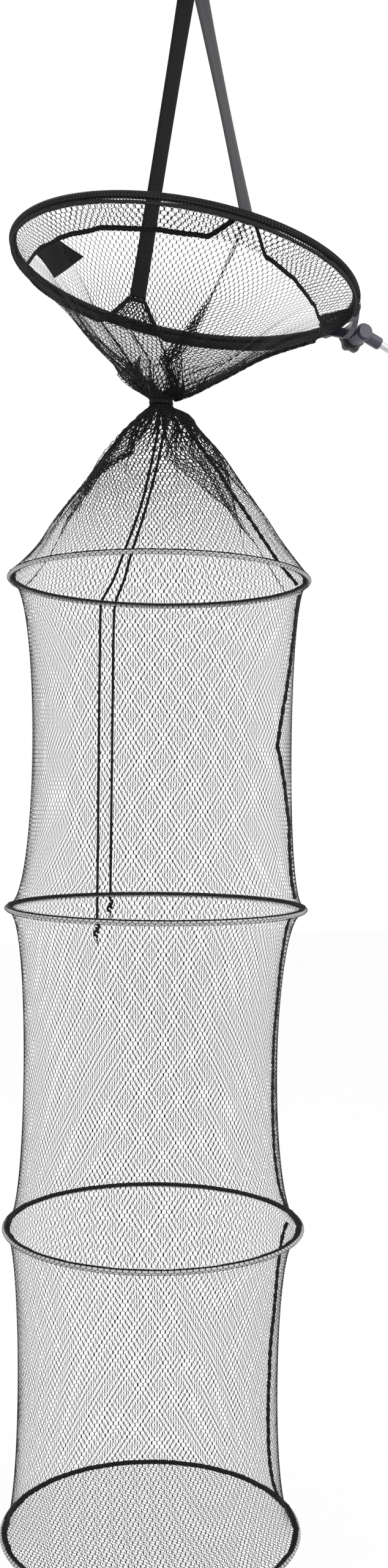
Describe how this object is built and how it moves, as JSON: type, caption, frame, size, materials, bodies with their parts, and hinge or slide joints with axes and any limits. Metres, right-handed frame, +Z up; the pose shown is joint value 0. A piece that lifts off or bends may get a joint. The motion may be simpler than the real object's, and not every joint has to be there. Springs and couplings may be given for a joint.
{
  "type": "fishing keep net",
  "caption": "Long round keep net of knotless mesh on hoops, with a tied neck, a mouth ring hung from a webbing strap and an angle lock with a threaded stud.",
  "frame": {"origin": "The hanging point: the inside of the strap's top bend, where it rests on a hook or a rod.", "axes": "+Z up along the hanging net; +X towards the angle lock on the mouth ring; Y runs along the strap, from one side of the mouth to the other."},
  "size_m": [0.5362, 0.4682, 2.0796],
  "materials": {
    "webbing": "matte",
    "ring_tube": "satin",
    "netting": "matte",
    "ribbon": "matte",
    "label": "matte",
    "moulded_plastic": "satin",
    "knob_plastic": "satin",
    "steel": "satin",
    "brass": "satin",
    "cord": "matte",
    "hoop_rod": "gloss"
  },
  "bodies": {
    "strap": {"carry_strap": "webbing"},
    "head": {"head_ring": "ring_tube", "head_casing": "netting", "collar": "netting", "hem_ribbon": "ribbon", "strap_gusset": "netting", "label_flap": "label", "upper_cone": "netting", "seam_upper": "ribbon", "clamp_bracket": "moulded_plastic", "lock_bolt": "steel", "bolt_cap": "moulded_plastic"},
    "lock": {"knuckle": "moulded_plastic", "threaded_stud": "steel"},
    "knob": {"star_knob": "knob_plastic", "knob_insert": "brass"},
    "neck": {"neck_band": "cord", "neck_gather": "netting", "lower_cone": "netting", "seam_lower": "ribbon", "drawcord_left": "cord", "drawcord_right": "cord"},
    "hoop_one": {"hoop_1": "hoop_rod", "hoop_casing_1": "netting", "net_section_1": "netting", "seam_1": "ribbon", "cord_knot_left": "cord", "cord_knot_right": "cord"},
    "hoop_two": {"hoop_2": "hoop_rod", "hoop_casing_2": "netting", "net_section_2": "netting", "seam_2": "ribbon"},
    "hoop_three": {"hoop_3": "hoop_rod", "hoop_casing_3": "netting", "net_section_3": "netting", "seam_3": "ribbon"},
    "hoop_four": {"hoop_4": "hoop_rod", "hoop_casing_4": "netting", "base_net": "netting"}
  },
  "joints": [
    {"name": "head_swing", "type": "hinge", "parent": "strap", "child": "head", "pos_m": [-0.00382, 0.00042, -0.39078], "axis": [0.0076, 0.999, 0.0435], "range_deg": [-15, 15]},
    {"name": "angle_tilt", "type": "hinge", "parent": "head", "child": "lock", "pos_m": [0.24839, -0.00023, -0.46372], "axis": [-0.0039, 0.9997, -0.0224], "range_deg": [-104, 76]},
    {"name": "knob_turn", "type": "hinge", "parent": "head", "child": "knob", "pos_m": [0.24839, -0.00023, -0.46372], "axis": [-0.0039, 0.9997, -0.0224], "continuous": true},
    {"name": "neck_lift", "type": "slide", "parent": "head", "child": "neck", "axis": [0, 0, 1], "range_m": [0, 0.12], "deforming": ["upper_cone", "seam_upper"]},
    {"name": "hoop_1_lift", "type": "slide", "parent": "neck", "child": "hoop_one", "axis": [0, 0, 1], "range_m": [0, 0.2], "deforming": ["lower_cone", "seam_lower", "drawcord_left", "drawcord_right"]},
    {"name": "hoop_2_lift", "type": "slide", "parent": "hoop_one", "child": "hoop_two", "axis": [0, 0, 1], "range_m": [0, 0.405], "deforming": ["net_section_1", "seam_1"]},
    {"name": "hoop_3_lift", "type": "slide", "parent": "hoop_two", "child": "hoop_three", "axis": [0, 0, 1], "range_m": [0, 0.41], "deforming": ["net_section_2", "seam_2"]},
    {"name": "hoop_4_lift", "type": "slide", "parent": "hoop_three", "child": "hoop_four", "axis": [0, 0, 1], "range_m": [0, 0.394], "deforming": ["net_section_3", "seam_3"]}
  ]
}
